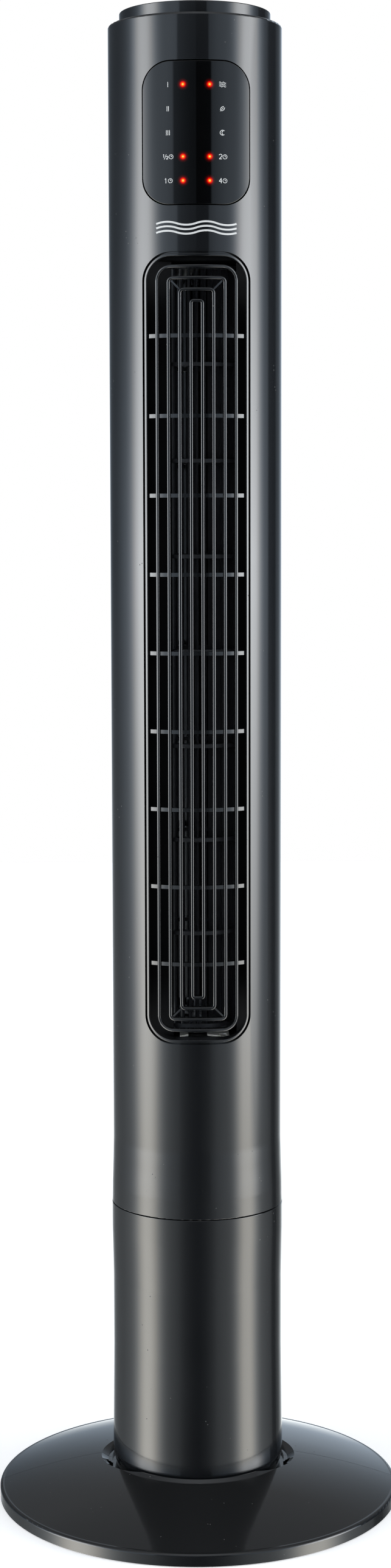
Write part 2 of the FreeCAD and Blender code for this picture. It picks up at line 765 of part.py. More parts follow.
def grille_brace(x_side, z_side):
    """Thin diagonal between the second and third loops at one corner."""
    half_height = (OUTLET_HIGH - OUTLET_LOW) / 2 - FIRST_LOOP_INSET + LOOP_PITCH
    near = vector(x_side * (FIRST_LOOP_HALF + LOOP_PITCH), -80, OUTLET_MID + z_side * half_height)
    far = near + vector(x_side * LOOP_PITCH, 0, z_side * LOOP_PITCH)
    across = vector(-x_side * z_side, 0, 1).normalize() * (BRACE_WIDTH / 2)
    corners = [near + across, far + across, far - across, near - across]
    brace = Part.Face(outline([(corner, 0) for corner in corners])).extrude(vector(0, 50, 0))
    return brace.common(skin(RIB_R, BAR_BACK_R))


def outlet_grille():
    limits = racetrack(FRAME_HALF - FRAME_WALL + SEAT_GAP, OUTLET_LOW, OUTLET_HIGH, 5.0, -80, -30)
    ribs = []
    for index in range(RIB_COUNT):
        middle = OUTLET_MID + (index - (RIB_COUNT - 1) / 2) * RIB_PITCH
        rib = tube(RIB_R, BAR_BACK_R, middle - RIB_HEIGHT / 2, middle + RIB_HEIGHT / 2)
        ribs.append(rib.common(limits))
    loops = [grille_loop(index) for index in range(len(LOOP_CORNERS))]
    braces = [grille_brace(x_side, z_side) for x_side in SIDES for z_side in SIDES]
    return joined([grille_frame()] + loops + ribs + braces)


# ---- duct ----
def air_tongue():
    """Sharp wall on the left of the wheel that parts the air."""
    return plan([
        (-DUCT_MOUTH_X - DUCT_WALL, DUCT_FRONT_Y, 0),
        (-DUCT_MOUTH_X, DUCT_FRONT_Y, 0),
        (-DUCT_MOUTH_X, -45.8, 0),
        (-19.0, -37.6, 0.8),
        (-19.8, -35.6, 0.8),
        (-58.0, -27.6, 0),
        (-58.6, -29.3, 0),
        (-22.8, -37.0, 0),
        (-DUCT_MOUTH_X - DUCT_WALL, -44.7, 0),
    ], DUCT_LOW, DUCT_HIGH)


def spiral_curve(extra, last):
    """Growing spiral about the wheel, set back by extra, from the mouth to the last angle."""
    growth = math.log(SCROLL_FAR_R / SCROLL_NEAR_R) / (SCROLL_LAST - SCROLL_FIRST)
    places = []
    for step in range(SCROLL_STEPS + 1):
        angle = SCROLL_FIRST + (last - SCROLL_FIRST) * step / SCROLL_STEPS
        radius = SCROLL_NEAR_R * math.exp(growth * (SCROLL_LAST - angle)) + extra
        places.append(vector(radius * math.cos(math.radians(angle)),
                             WHEEL_Y + radius * math.sin(math.radians(angle)), DUCT_LOW))
    curve = Part.BSplineCurve()
    curve.interpolate(places)
    return curve.toShape(), places[0], places[-1]


def air_scroll():
    """Spiral wall on the right that guides the air round the wheel, with a lip at the mouth."""
    inner, inner_mouth, inner_foot = spiral_curve(0, SCROLL_LAST)
    outer, outer_mouth, outer_foot = spiral_curve(DUCT_WALL, SCROLL_LAST - 2.5)
    foot = [inner_foot, vector(-8.3, 64.8, DUCT_LOW), vector(-6.0, 65.1, DUCT_LOW), outer_foot]
    mouth = [outer_mouth]
    mouth.append(vector(34.2, -40.2, DUCT_LOW))
    mouth.append(vector(DUCT_MOUTH_X + DUCT_WALL, -44.7, DUCT_LOW))
    mouth.append(vector(DUCT_MOUTH_X + DUCT_WALL, DUCT_FRONT_Y, DUCT_LOW))
    mouth.append(vector(DUCT_MOUTH_X, DUCT_FRONT_Y, DUCT_LOW))
    mouth.append(vector(DUCT_MOUTH_X, -45.8, DUCT_LOW))
    mouth.append(vector(31.2, -40.0, DUCT_LOW))
    mouth.append(inner_mouth)
    edges = [inner, outer]
    for path in (foot, mouth):
        edges += [Part.LineSegment(start, end).toShape() for start, end in zip(path, path[1:])]
    wire = Part.Wire(Part.__sortEdges__(edges))
    return Part.Face(wire).extrude(vector(0, 0, DUCT_HIGH - DUCT_LOW))


def around_wheel(shape, angles):
    """Copies of a shape made at y = 0, turned about the wheel's axis."""
    return around(moved(shape, 0, WHEEL_Y, 0), angles, 0, WHEEL_Y)


def motor_screws(drive=False):
    upright = screw(2.0, 4.0, 378.0, BRACKET_TOP, 2.4, drive)
    return around_wheel(moved(upright, GROMMET_R, 0, 0), GROMMET_ANGLES)


def grommets():
    floor = DUCT_LOW - PLATE
    grommet = joined([rod(6.5, GROMMET_LOW, floor, GROMMET_R, 0),
                      rod(GROMMET_HOLE_R, floor, DUCT_LOW, GROMMET_R, 0),
                      rod(6.5, DUCT_LOW, BRACKET_LOW, GROMMET_R, 0)])
    grommet = grommet.cut(rod(2.0, GROMMET_LOW - CUT, BRACKET_TOP, GROMMET_R, 0))
    return around_wheel(grommet, GROMMET_ANGLES)


def duct_floor():
    low, high = DUCT_LOW - PLATE, DUCT_LOW
    plate = rod(FILL_R, low, high).common(behind(FRAME_BACK_Y + 0.1))
    holes = around_wheel(rod(GROMMET_HOLE_R, low - CUT, high + CUT, GROMMET_R, 0), GROMMET_ANGLES)
    return cut_by(plate, [rod(HUB_PASSAGE_R, low - CUT, high + CUT, 0, WHEEL_Y)] + holes)


def motor_bracket():
    """Zinc-plated plate over the motor, with two ears that reach to the outlet."""
    low, high = BRACKET_LOW, BRACKET_TOP
    body = joined([
        rod(33.0, low, high, 0, WHEEL_Y),
        plan([(-14.4, -18, 0), (-14.4, -45, 0), (-7.5, -39.5, 0), (-7.5, -18, 0)], low, high),
        plan([(7.6, -18, 0), (7.6, -38, 0), (25.2, -50.8, 0), (25.2, -10, 0)], low, high),
    ])
    slot = slab(16.8, 23.8, -46, -35, 3.4, low - CUT, high + CUT)
    passage = rod(HUB_PASSAGE_R, low - CUT, high + CUT, 0, WHEEL_Y)
    return cut_by(body, [slot, passage] + motor_screws())


def motor_stator():
    """Motor housing, hollow for its rotor."""
    body = joined([
        rod(MOTOR_R, MOTOR_LOW, MOTOR_HIGH, 0, WHEEL_Y),
        Part.makeCone(25.0, 31.5, MOTOR_END, vector(0, WHEEL_Y, MOTOR_LOW - MOTOR_END)),
        Part.makeCone(31.5, 30.0, MOTOR_END, vector(0, WHEEL_Y, MOTOR_HIGH)),
    ])
    rotor_room = rod(ROTOR_R + 0.5, MOTOR_LOW - 2, MOTOR_HIGH + 2, 0, WHEEL_Y)
    bore = rod(SHAFT_R + RUNNING_GAP, MOTOR_LOW - 18, MOTOR_HIGH + 16, 0, WHEEL_Y)
    groove = block(MOTOR_R - 3, MOTOR_R + 1, -1.0, 1.0, MOTOR_LOW + 4, MOTOR_HIGH - 4)
    grooves = around_wheel(groove, [360 / MOTOR_FINS * index for index in range(MOTOR_FINS)])
    return cut_by(body, [rotor_room, bore, Part.makeCompound(grooves)] + motor_screws())


def motor_rotor():
    return joined([rod(ROTOR_R, MOTOR_LOW, MOTOR_HIGH, 0, WHEEL_Y), rod(SHAFT_R, SHAFT_LOW, SHAFT_TOP, 0, WHEEL_Y)])


def bearing_bracket():
    """Roof of the duct with the boss for the upper bush."""
    plate = rod(FILL_R, DUCT_HIGH, DUCT_HIGH + PLATE).common(behind(FRAME_BACK_Y + 0.1))
    boss = rod(9.0, DUCT_HIGH, DUCT_HIGH + BUSH_HEIGHT + 1, 0, WHEEL_Y)
    ribs = around_wheel(block(8.0, 50.0, -1, 1, DUCT_HIGH + 1, DUCT_HIGH + 9), range(0, 360, 60))
    bore = rod(BUSH_R, DUCT_HIGH - CUT, DUCT_HIGH + BUSH_HEIGHT, 0, WHEEL_Y)
    return joined([plate, boss] + ribs).cut(bore)


def upper_bush():
    bush = rod(BUSH_R, DUCT_HIGH, DUCT_HIGH + BUSH_HEIGHT, 0, WHEEL_Y)
    return bush.cut(rod(TOP_SHAFT_R + RUNNING_GAP, DUCT_HIGH - CUT, DUCT_HIGH + BUSH_HEIGHT - 1, 0, WHEEL_Y))


# ---- cross-flow wheel ----
def blade(low, high):
    """One forward-curved blade: a crescent between the two radii of the wheel."""
    middle_r = (WHEEL_R + WHEEL_INNER_R) / 2
    lean = math.radians(BLADE_LEAN)
    root_r = WHEEL_INNER_R + 0.6
    tip = vector(WHEEL_R - 0.4, 0, low)
    root = vector(root_r * math.cos(lean), -root_r * math.sin(lean), low)
    back = vector(middle_r, BLADE_BULGE, low)
    face = vector(middle_r + 0.1, BLADE_BULGE - BLADE_THICKNESS, low)
    wire = Part.Wire([Part.Arc(root, back, tip).toShape(), Part.Arc(tip, face, root).toShape()])
    return Part.Face(wire).extrude(vector(0, 0, high - low))


def impeller():
    """Moulded wheel sections, each a ring of blades, between two end discs."""
    length = WHEEL_PITCH - WHEEL_DISC
    start = WHEEL_LOW + WHEEL_DISC
    rim_r = WHEEL_INNER_R - 1
    blade_angles = [360.0 * index / BLADE_COUNT for index in range(BLADE_COUNT)]
    ring = tube(WHEEL_R, rim_r, start + length, start + WHEEL_PITCH, 0, WHEEL_Y)
    section = ring.multiFuse(around_wheel(blade(start, start + length), blade_angles))
    sections = [tube(WHEEL_R, HUB_R, WHEEL_LOW, start, 0, WHEEL_Y)]
    sections += [moved(section, 0, 0, index * WHEEL_PITCH) for index in range(WHEEL_SECTIONS)]
    sections.append(tube(rim_r, 2 * TOP_SHAFT_R, WHEEL_HIGH - WHEEL_DISC, WHEEL_HIGH, 0, WHEEL_Y))
    return sections[0].multiFuse(sections[1:])


def hub_screw():
    return rod_y(1.5, WHEEL_Y - 9.5, WHEEL_Y - SHAFT_R - RUNNING_GAP, 0, HUB_SCREW_Z)


def impeller_hub():
    """Clamped hub that carries the wheel on the motor shaft."""
    disc_top = WHEEL_LOW + WHEEL_DISC
    hub = turned([
        (SHAFT_R, BRACKET_TOP + 3, 0),
        (HUB_R - 1, BRACKET_TOP + 3, 0),
        (HUB_R - 1, WHEEL_LOW, 0),
        (HUB_R, WHEEL_LOW, 0),
        (HUB_R, disc_top, 0),
        (12.0, disc_top, 0),
        (12.0, disc_top + 2, 0.8),
        (HUB_R + 0.5, disc_top + 3, 0),
        (HUB_R + 0.5, HUB_TOP, 0.8),
        (0, HUB_TOP, 0),
        (0, SHAFT_TOP, 0),
        (SHAFT_R, SHAFT_TOP, 0),
    ])
    return moved(hub, 0, WHEEL_Y, 0).cut(hub_screw())


def top_shaft():
    """Steel pin moulded into the upper end of the wheel."""
    pin = rod(TOP_SHAFT_R, WHEEL_HIGH - 12, DUCT_HIGH + 10, 0, WHEEL_Y)
    flange = rod(2 * TOP_SHAFT_R, WHEEL_HIGH - WHEEL_DISC, WHEEL_HIGH, 0, WHEEL_Y)
    return joined([pin, flange])


# ---- electronics of the lower tower ----
def power_board():
    board = block(-34, 34, BOARD_FRONT_Y, BOARD_BACK_Y, BAY_FLOOR, 316)
    holes = [rod_y(1.6, -40, -30, x, z) for x in (-30, 30) for z in (264, 312)]
    return board.cut(Part.makeCompound(holes))


def power_board_parts():
    """Transformer, relays, fuse and terminal block on the board."""
    back = BOARD_FRONT_Y
    transformer = joined([block(-26, 2, back - 18, back, 262, 286), block(-20, -4, back - 20, back, 266, 282)])
    relays = [block(x, x + 9, back - 15, back, 296, 311) for x in (-28, -16, -4)]
    wire_holes = [rod_y(1.4, back - 12, back - 4, x, 266) for x in (12, 18, 24, 29)]
    terminal = cut_by(block(8, 32, back - 10, back, 262, 270), wire_holes)
    fuse = Part.makeCylinder(2.6, 20, vector(8, back - 3, 290), vector(1, 0, 0))
    smoother = rod_y(5.0, back - 12, back, 16, 302)
    return [transformer, terminal, fuse, smoother] + relays


def run_capacitor():
    case = slab(-52, -34, -16, 18, 2, BAY_FLOOR, 285)
    tabs = [block(-46, -40, y, y + 1, 285, 291) for y in (-8, 7)]
    return joined([case] + tabs)


# ---- display ----
def display_lens():
    """Smoked window whose face is a little flatter than the tower, so its sides stand proud."""
    inset = TRIM_GAP / 2
    centre_y = LENS_CURVE_R - TOWER_R + LENS_SETBACK
    window = racetrack(LENS_HALF - inset, LENS_LOW + inset, LENS_HIGH - inset, LENS_CORNER - inset, -80, -40)
    face = moved(window, 0, -centre_y, 0).common(rod(LENS_CURVE_R, SEAM_Z, HEIGHT))
    lens = moved(rounded_front(face, LENS_CURVE_R, LENS_ROUND), 0, centre_y, 0)
    return lens.cut(rod(TOWER_INNER_R + RUNNING_GAP, SEAM_Z, HEIGHT))


def led_levels():
    return [LED_MID_Z + (row - (LED_ROWS - 1) / 2) * LED_PITCH for row in range(LED_ROWS)]


def led_places():
    return [(side * LED_X, z) for z in led_levels() for side in SIDES]


def led_lamps():
    """Ten small domed lamps that stand on the display board."""
    lamps = []
    for x, z in led_places():
        body = rod_y(LED_R, -62.0, DISPLAY_BOARD_Y, x, z)
        collar = rod_y(LED_R + 0.4, DISPLAY_BOARD_Y - 1, DISPLAY_BOARD_Y, x, z)
        lamps.append(joined([body, collar, Part.makeSphere(LED_R, vector(x, -62.0, z))]))
    return lamps


def led_baffle():
    """Black block that keeps each lamp's light to its own window."""
    body = block(-30, 30, -65.5, DISPLAY_BOARD_Y - 1.2, LED_MID_Z - 48, LED_MID_Z + 48)
    body = body.common(rod(TOWER_INNER_R - MOVING_GAP, SEAM_Z, HEIGHT))
    holes = [rod_y(LED_R + 0.7, -70, -50, x, z) for x, z in led_places()]
    windows = []
    for z in led_levels():
        window = racetrack(4.2, z - 3.4, z + 3.4, 1.2, -70, -50)
        windows += [moved(window, side * ICON_X, 0, 0) for side in SIDES]
    eye = racetrack(3.4, EYE_Z - 1.6, EYE_Z + 1.6, 1.0, -70, -50)
    return body.cut(Part.makeCompound(holes + windows + [eye]))


def display_board():
    board = racetrack(34, LENS_LOW + 2, LENS_HIGH - 2, 4, DISPLAY_BOARD_Y, DISPLAY_BOARD_BACK)
    board = board.common(rod(FILL_R, SEAM_Z, HEIGHT))
    holes = [rod_y(1.6, -60, -40, x, z) for x in (-30, 30) for z in (LENS_LOW + 7, LENS_HIGH - 7)]
    return board.cut(Part.makeCompound(holes))


def remote_receiver():
    body = block(-2.8, 2.8, DISPLAY_BOARD_Y - 5, DISPLAY_BOARD_Y, EYE_Z - 1.4, EYE_Z + 1.4)
    return joined([body, rod_y(1.3, DISPLAY_BOARD_Y - 6.4, DISPLAY_BOARD_Y - 3, 0, EYE_Z)])


def sounder():
    """Small round buzzer on the back of the display board."""
    can = rod_y(6.0, DISPLAY_BOARD_BACK, DISPLAY_BOARD_BACK + 7.4, 20, 1120)
    return can.cut(rod_y(1.0, DISPLAY_BOARD_BACK + 4, DISPLAY_BOARD_BACK + 10, 20, 1120))


# ---- cap and keys ----
def key_x(index):
    return (index - (len(KEYS) - 1) / 2) * KEY_PITCH


def top_cap():
    """Raised cap with a shallow recess for the keys and posts for their board."""
    rim_r = TOWER_INNER_R - 2.6
    cap = turned([
        (0, HEIGHT, 0),
        (CAP_R, HEIGHT, 0.8),
        (CAP_R, CAP_SEAT_Z, 0),
        (rim_r, CAP_SEAT_Z, 0),
        (rim_r, CAP_SEAT_Z - 2.4, 0),
        (CAP_R - WALL, CAP_SEAT_Z - 2.4, 0),
        (CAP_R - WALL, HEIGHT - CAP_SKIN, 0),
        (0, HEIGHT - CAP_SKIN, 0),
    ])
    half = 2 * KEY_PITCH + 11
    recess = slab(-half, half, KEY_Y - 11, KEY_Y + 11, 10.5, HEIGHT - KEY_RECESS, HEIGHT + CUT)
    recess = recess.common(rod(CAP_R - 4, HEIGHT - 5, HEIGHT + 5))
    posts = [rod(3.0, BOARD_TOP, HEIGHT - 2.0, x, y) for x, y in BOARD_POSTS]
    holes = [rod(KEY_R + MOVING_GAP, HEIGHT - 5, HEIGHT + CUT, key_x(index), KEY_Y) for index in range(len(KEYS))]
    return cut_by(joined([cap.cut(recess)] + posts), holes + board_screws())


def board_screws(drive=False):
    upright = screw(1.2, 2.4, HEIGHT - 8, BOARD_LOW, 1.4, drive)
    return [moved(upright, x, y, 0) for x, y in BOARD_POSTS]


def button_board():
    return cut_by(slab(-46, 46, -30, -3, 3, BOARD_LOW, BOARD_TOP), board_screws())


def button_switches():
    """Tact switches: a square body and a round plunger under each key."""
    switches = []
    for index in range(len(KEYS)):
        x = key_x(index)
        case = block(x - 3, x + 3, KEY_Y - 3, KEY_Y + 3, BOARD_TOP, BOARD_TOP + 3.5)
        switches.append(joined([case, rod(1.7, BOARD_TOP + 3, SWITCH_TOP, x, KEY_Y)]))
    return switches


def key(index):
    """Round key with a flange that keeps it under the cap and a stem over its switch."""
    top = HEIGHT - 0.1
    flange_top = HEIGHT - KEY_DEPTH
    flange_low = flange_top - 1.5
    stem_low = SWITCH_TOP + KEY_TRAVEL + MOVING_GAP
    body = turned([
        (0, top, 0),
        (KEY_R, top, 0.7),
        (KEY_R, flange_top, 0),
        (KEY_R + KEY_FLANGE, flange_top, 0),
        (KEY_R + KEY_FLANGE, flange_low, 0),
        (2.0, flange_low, 0),
        (2.0, stem_low, 0.3),
        (0, stem_low, 0),
    ])
    dish = Part.makeSphere(KEY_DISH_R, vector(0, 0, HEIGHT + KEY_DISH_R - 0.5))
    return moved(body.cut(dish), key_x(index), KEY_Y, 0)


# ---- all nodes ----
def build():
    base = base_whole()
    column = column_whole()
    shell = tower_shell()
    half_gap = BASE_SPLIT_GAP / 2
    latches = Part.makeCompound([latch_slot(side) for side in SIDES])
    nodes = {
        "base_front": base.common(front_of(BASE_SPLIT_Y - half_gap)).cut(latches),
        "base_rear": base.common(behind(BASE_SPLIT_Y + half_gap)),
        "base_feet": grouped(base_feet()),
        "base_screws": grouped(base_screws(drive=True)),
        "column_front": column.common(front_of(SPLIT_Y)),
        "column_rear": column.common(behind(SPLIT_Y)),
        "cord_gland": cord_gland(),
        "swivel_plate": swivel_plate(),
        "swivel_plate_screws": grouped(plate_screws(drive=True)),
        "slide_ring": slide_ring(),
        "swing_gear": swing_gear(),
        "swing_gear_screws": grouped(post_screws(drive=True)),
        "swing_pinion": swing_pinion(),
        "swing_motor_shaft": swing_shaft(),
        "swing_motor": swing_motor(),
        "swing_motor_screws": grouped(swing_motor_screws(drive=True)),
        "turntable": turntable(),
        "turntable_screws": grouped(turntable_screws(drive=True)),
        "front_housing": front_housing(shell),
        "rear_housing": rear_housing(shell),
        "housing_screws": grouped(housing_screws(drive=True)),
        "carry_handle": carry_handle(),
        "outlet_grille": outlet_grille(),
        "air_tongue": air_tongue(),
        "air_scroll": air_scroll(),
        "duct_floor": duct_floor(),
        "motor_bracket": motor_bracket(),
        "motor_grommets": grouped(grommets()),
        "motor_screws": grouped(motor_screws(drive=True)),
        "motor_stator": motor_stator(),
        "motor_rotor": motor_rotor(),
        "bearing_bracket": bearing_bracket(),
        "upper_bush": upper_bush(),
        "impeller": impeller(),
        "impeller_hub": impeller_hub(),
        "impeller_set_screw": hub_screw(),
        "impeller_top_shaft": top_shaft(),
        "power_board": power_board(),
        "power_board_parts": grouped(power_board_parts()),
        "run_capacitor": run_capacitor(),
        "display_lens": display_lens(),
        "display_board": display_board(),
        "led_baffle": led_baffle(),
        "led_lamps": grouped(led_lamps()),
        "remote_receiver": remote_receiver(),
        "sounder": sounder(),
        "top_cap": top_cap(),
        "button_board": button_board(),
        "button_board_screws": grouped(board_screws(drive=True)),
        "button_switches": grouped(button_switches()),
    }
    for index, name in enumerate(KEYS):
        nodes["button_" + name] = key(index)
    return nodes


os.makedirs("parts", exist_ok=True)
for node, shape in build().items():
    shape.exportStep("parts/" + node + ".step")
    print(node, len(shape.Solids), shape.isValid(), round(shape.Volume))
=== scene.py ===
import json
import math
import bmesh
import bpy
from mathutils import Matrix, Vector


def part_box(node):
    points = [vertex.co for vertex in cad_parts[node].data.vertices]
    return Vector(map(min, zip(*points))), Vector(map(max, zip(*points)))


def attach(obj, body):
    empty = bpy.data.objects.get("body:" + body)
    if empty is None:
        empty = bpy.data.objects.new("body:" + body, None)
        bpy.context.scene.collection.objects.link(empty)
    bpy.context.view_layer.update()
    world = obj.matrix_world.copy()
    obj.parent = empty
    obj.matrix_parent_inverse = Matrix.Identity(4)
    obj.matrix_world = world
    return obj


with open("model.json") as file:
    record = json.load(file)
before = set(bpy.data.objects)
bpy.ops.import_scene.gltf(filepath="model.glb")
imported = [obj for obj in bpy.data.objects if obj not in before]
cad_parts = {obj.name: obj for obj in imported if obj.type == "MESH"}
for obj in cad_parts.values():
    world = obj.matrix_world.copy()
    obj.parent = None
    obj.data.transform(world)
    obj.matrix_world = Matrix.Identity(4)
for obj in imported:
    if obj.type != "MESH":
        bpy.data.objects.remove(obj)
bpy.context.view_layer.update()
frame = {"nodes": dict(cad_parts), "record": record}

# Looks of the oscillating tower fan, in metres in the CAD frame: +Z up, the outlet faces -Y.

# ---- places read from the frame ----
KEYS = ("power", "speed", "mode", "timer", "swing")
lens_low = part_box("display_lens")[0]
lamps_low, lamps_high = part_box("led_lamps")
key_boxes = {name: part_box("button_" + name) for name in KEYS}

# ---- lens and lamps ----
LENS_CURVE_R = 0.084
LENS_CENTRE_Y = lens_low.y + LENS_CURVE_R
LAMP_R = 0.0019
LAMP_X = lamps_high.x - LAMP_R
LAMP_ROWS = 5
LAMP_PITCH = (lamps_high.z - lamps_low.z - 2 * LAMP_R) / (LAMP_ROWS - 1)
LIT_ROWS = (0, 1, 4)
GLOW_REACH = 0.0046
# Colour of a lamp's glow on the window, from its heart outwards, by share of its reach.
GLOW_STOPS = (
    (0.0, (1.0, 1.0, 0.45)),
    (0.09, (1.0, 0.72, 0.10)),
    (0.20, (1.0, 0.22, 0.008)),
    (0.32, (1.0, 0.015, 0.0)),
    (0.41, (0.80, 0.0, 0.0)),
    (0.52, (0.20, 0.0, 0.0)),
    (0.70, (0.035, 0.0, 0.0)),
    (1.0, (0.0, 0.0, 0.0)),
)

# ---- specks of dust, and painted light on level tops: a lighter tint standing in for the light that falls on them ----
DUST_SCALE = 170.0
DUST_SIZE = 0.10
DUST_COVER = 0.60
DUST_ROUGH = 0.7
DUST_TINT = (1.0, 1.0, 0.97)
PAINTED_TOP_LIGHT_FROM = 0.75
PAINTED_TOP_LIGHT_FULL = 0.98
PAINTED_TOP_LIGHT_TINT = (1.0, 1.03, 1.06)

# ---- keys ----
KEY_DISH_R = 0.030
KEY_DISH_DEPTH = 0.0004
KEY_MARK = 0.0026
KEY_STROKE = 0.00045

# ---- prints: THIN is a share of a stroke; HALF_NUMERAL, HALF_RISE and CLOCK_R of a label's height ----
PRINT_PROUD = 0.00006
LABEL_X = 0.0210
LABEL_SHIFT = -0.0008
LABEL_HEIGHT = 0.0038
LABEL_STROKE = 0.00050
THIN = 0.8
BARS_PITCH = 0.0012
HALF_NUMERAL = 0.62
HALF_RISE = 0.19
HALF_SPREAD = 0.0013
SLASH_FOOT = 0.0009
SLASH_HEAD = 0.0006
CLOCK_R = 0.42
HOURS_LEFT = 0.0016
HOURS_RIGHT = 0.0018
HALF_LEFT = 0.0019
HALF_RIGHT = 0.0024
AIR_HALF = 0.0026
AIR_PITCH = 0.0014
AIR_SWELL = 0.00042
LEAF_R = 0.0029
LEAF_OFFSET = 0.0012
STEM_FOOT = 0.0019
STEM_HEAD = 0.0008
MOON_R = 0.0019
MOON_BITE_R = 0.0016
MOON_BITE_X = 0.0011
TOWER_R = 0.0687
WAVES_BELOW_LENS = 0.0178
WAVES_HALF = 0.031
WAVES_PITCH = 0.0034
WAVES_SWELL = 0.0013
WAVES_STROKE = 0.0014

# ---- camera: how far it stands, how high, and how far it is turned about the tower ----
CAMERA_DISTANCE = 2.1169
CAMERA_HEIGHT = 0.8061
CAMERA_ORBIT = 0.85
CAMERA_AIM = 0.008
CAMERA_PITCH = 5.80
CAMERA_ROLL = 0.13
CAMERA_LENS = 60.25
CAMERA_REACH = 20.0

# ---- studio: soft lamps and dark cloths at angles from the front, right side positive ----
FLOOR_HALF = 4.0
FLOOR_LIFT = 0.45
# Each lamp: the angle of its middle, half its flat part, the softness of its edge, its brightness.
LOWER_LAMPS = (
    (-72, 1, 16.5, 6.8), (70, 2, 14, 5.7),
    (-70, 25, 24, 0.85), (66, 25, 24, 0.8),
    (-148, 10, 25, 0.16), (172, 0, 18, 1.5),
)
MIDDLE_LAMPS = (
    (-73, 5, 15, 10.6), (74, 8, 12, 10.7),
    (-70, 25, 24, 1.25), (70, 25, 24, 1.1),
    (172, 0, 18, 0.75),
)
UPPER_LAMPS = (
    (-72, 2, 13.5, 7.0), (74, 3, 14, 8.1),
    (-58, 22, 24, 1.1), (62, 22, 24, 0.85),
    (172, 0, 18, 0.75),
)
CEILING_LAMPS = ((0, 0, 70, 0.62),)
WALL_FILL = 0.12
CEILING_FILL = 0.36
# Each cloth: the angles of its two edges, half the width of an edge, and the share of light it lets by.
LOWER_CLOTHS = ((-14, 14, 12, 0.4), (121, 134, 2, 0.5))
MIDDLE_CLOTHS = ((-24, 0, 1, 0.5), (0, 17, 1, 0.13), (113, 135, 2, 0.25))
UPPER_CLOTHS = ((-24, 0, 1, 0.35), (0, 17, 1, 0.08), (112, 134, 2, 0.4))
TINT_FROM = 0.6
TINT_FULL = 5.4
UPPER_SHADE = (0.84, 1.00, 1.18)
LOWER_SHADE = (0.94, 1.01, 1.05)
UPPER_LIGHT = (0.97, 1.00, 1.03)
LOWER_LIGHT = (1.03, 1.01, 0.94)
CEILING_TINT = (0.96, 1.00, 1.05)
# Each band: its elevation, fill light, lamps, cloths, and the tints of its dark and bright parts.
BANDS = (
    (-14.0, WALL_FILL, LOWER_LAMPS, LOWER_CLOTHS, LOWER_SHADE, LOWER_LIGHT),
    (-1.0, WALL_FILL, MIDDLE_LAMPS, MIDDLE_CLOTHS, UPPER_SHADE, UPPER_LIGHT),
    (9.5, WALL_FILL, UPPER_LAMPS, UPPER_CLOTHS, UPPER_SHADE, UPPER_LIGHT),
    (38.0, CEILING_FILL, CEILING_LAMPS, (), CEILING_TINT, CEILING_TINT),
)


# ---- node helpers ----
def node(tree, kind, place, **values):
    made = tree.nodes.new("ShaderNode" + kind)
    made.location = place
    for name, value in values.items():
        setattr(made, name, value)
    return made


def joined_to(tree, source, socket):
    tree.links.new(source, socket)


def fresh_material(name):
    material = bpy.data.materials.new(name)
    material.use_nodes = True
    tree = material.node_tree
    shader = tree.nodes["Principled BSDF"]
    return material, tree, shader


def own_place(tree):
    """Coordinates fixed to the object itself."""
    return node(tree, "TexCoord", (-1300, 0)).outputs["Object"]


def noise(tree, coordinates, scale, detail=3.0):
    """Noise over the object's own coordinates; scale is features per metre."""
    made = node(tree, "TexNoise", (-700, 0))
    made.inputs["Scale"].default_value = scale
    made.inputs["Detail"].default_value = detail
    joined_to(tree, coordinates, made.inputs["Vector"])
    return made.outputs["Fac"]


def spread(tree, source, low, high, from_low=0.3, from_high=0.7):
    """Stretch a grey value onto a range."""
    made = node(tree, "MapRange", (-500, 0))
    made.inputs["From Min"].default_value = from_low
    made.inputs["From Max"].default_value = from_high
    made.inputs["To Min"].default_value = low
    made.inputs["To Max"].default_value = high
    joined_to(tree, source, made.inputs["Value"])
    return made.outputs["Result"]


def mixed_colour(tree, factor, first, second):
    made = node(tree, "Mix", (-300, 0), data_type="RGBA")
    joined_to(tree, factor, made.inputs["Factor"])
    for socket, colour in ((made.inputs["A"], first), (made.inputs["B"], second)):
        if isinstance(colour, tuple):
            socket.default_value = (*colour, 1.0)
        else:
            joined_to(tree, colour, socket)
    return made.outputs["Result"]


def bumped(tree, height, depth, below=None):
    """Normal of a surface whose relief is depth metres high."""
    made = node(tree, "Bump", (-200, -300))
    made.inputs["Strength"].default_value = 1.0
    made.inputs["Distance"].default_value = depth
    joined_to(tree, height, made.inputs["Height"])
    if below is not None:
        joined_to(tree, below, made.inputs["Normal"])
    return made.outputs["Normal"]


def specks(tree, coordinates, scale, size, cover):
    """Sparse small dots, 1 where there is one: a cell pattern thinned out by a slow noise."""
    cells = node(tree, "TexVoronoi", (-900, -200))
    cells.inputs["Scale"].default_value = scale
    joined_to(tree, coordinates, cells.inputs["Vector"])
    dots = spread(tree, cells.outputs["Distance"], 1.0, 0.0, size * 0.6, size)
    patches = spread(tree, noise(tree, coordinates, scale * 0.22, 1.0), 0.0, 1.0, cover, cover + 0.02)
    both = node(tree, "Math", (-500, -200), operation="MULTIPLY")
    joined_to(tree, dots, both.inputs[0])
    joined_to(tree, patches, both.inputs[1])
    return both.outputs["Value"]


def colour_ramp(tree, share, stops):
    """Colour at a share from 0 to 1, from (share, colour) stops in rising order."""
    made = node(tree, "ValToRGB", (-400, 0))
    spots = made.color_ramp.elements
    for position, colour in stops[1:-1]:
        spots.new(position)
    for spot, (position, colour) in zip(spots, stops):
        spot.position = position
        spot.color = (*colour, 1.0)
    joined_to(tree, share, made.inputs["Fac"])
    return made.outputs["Color"]


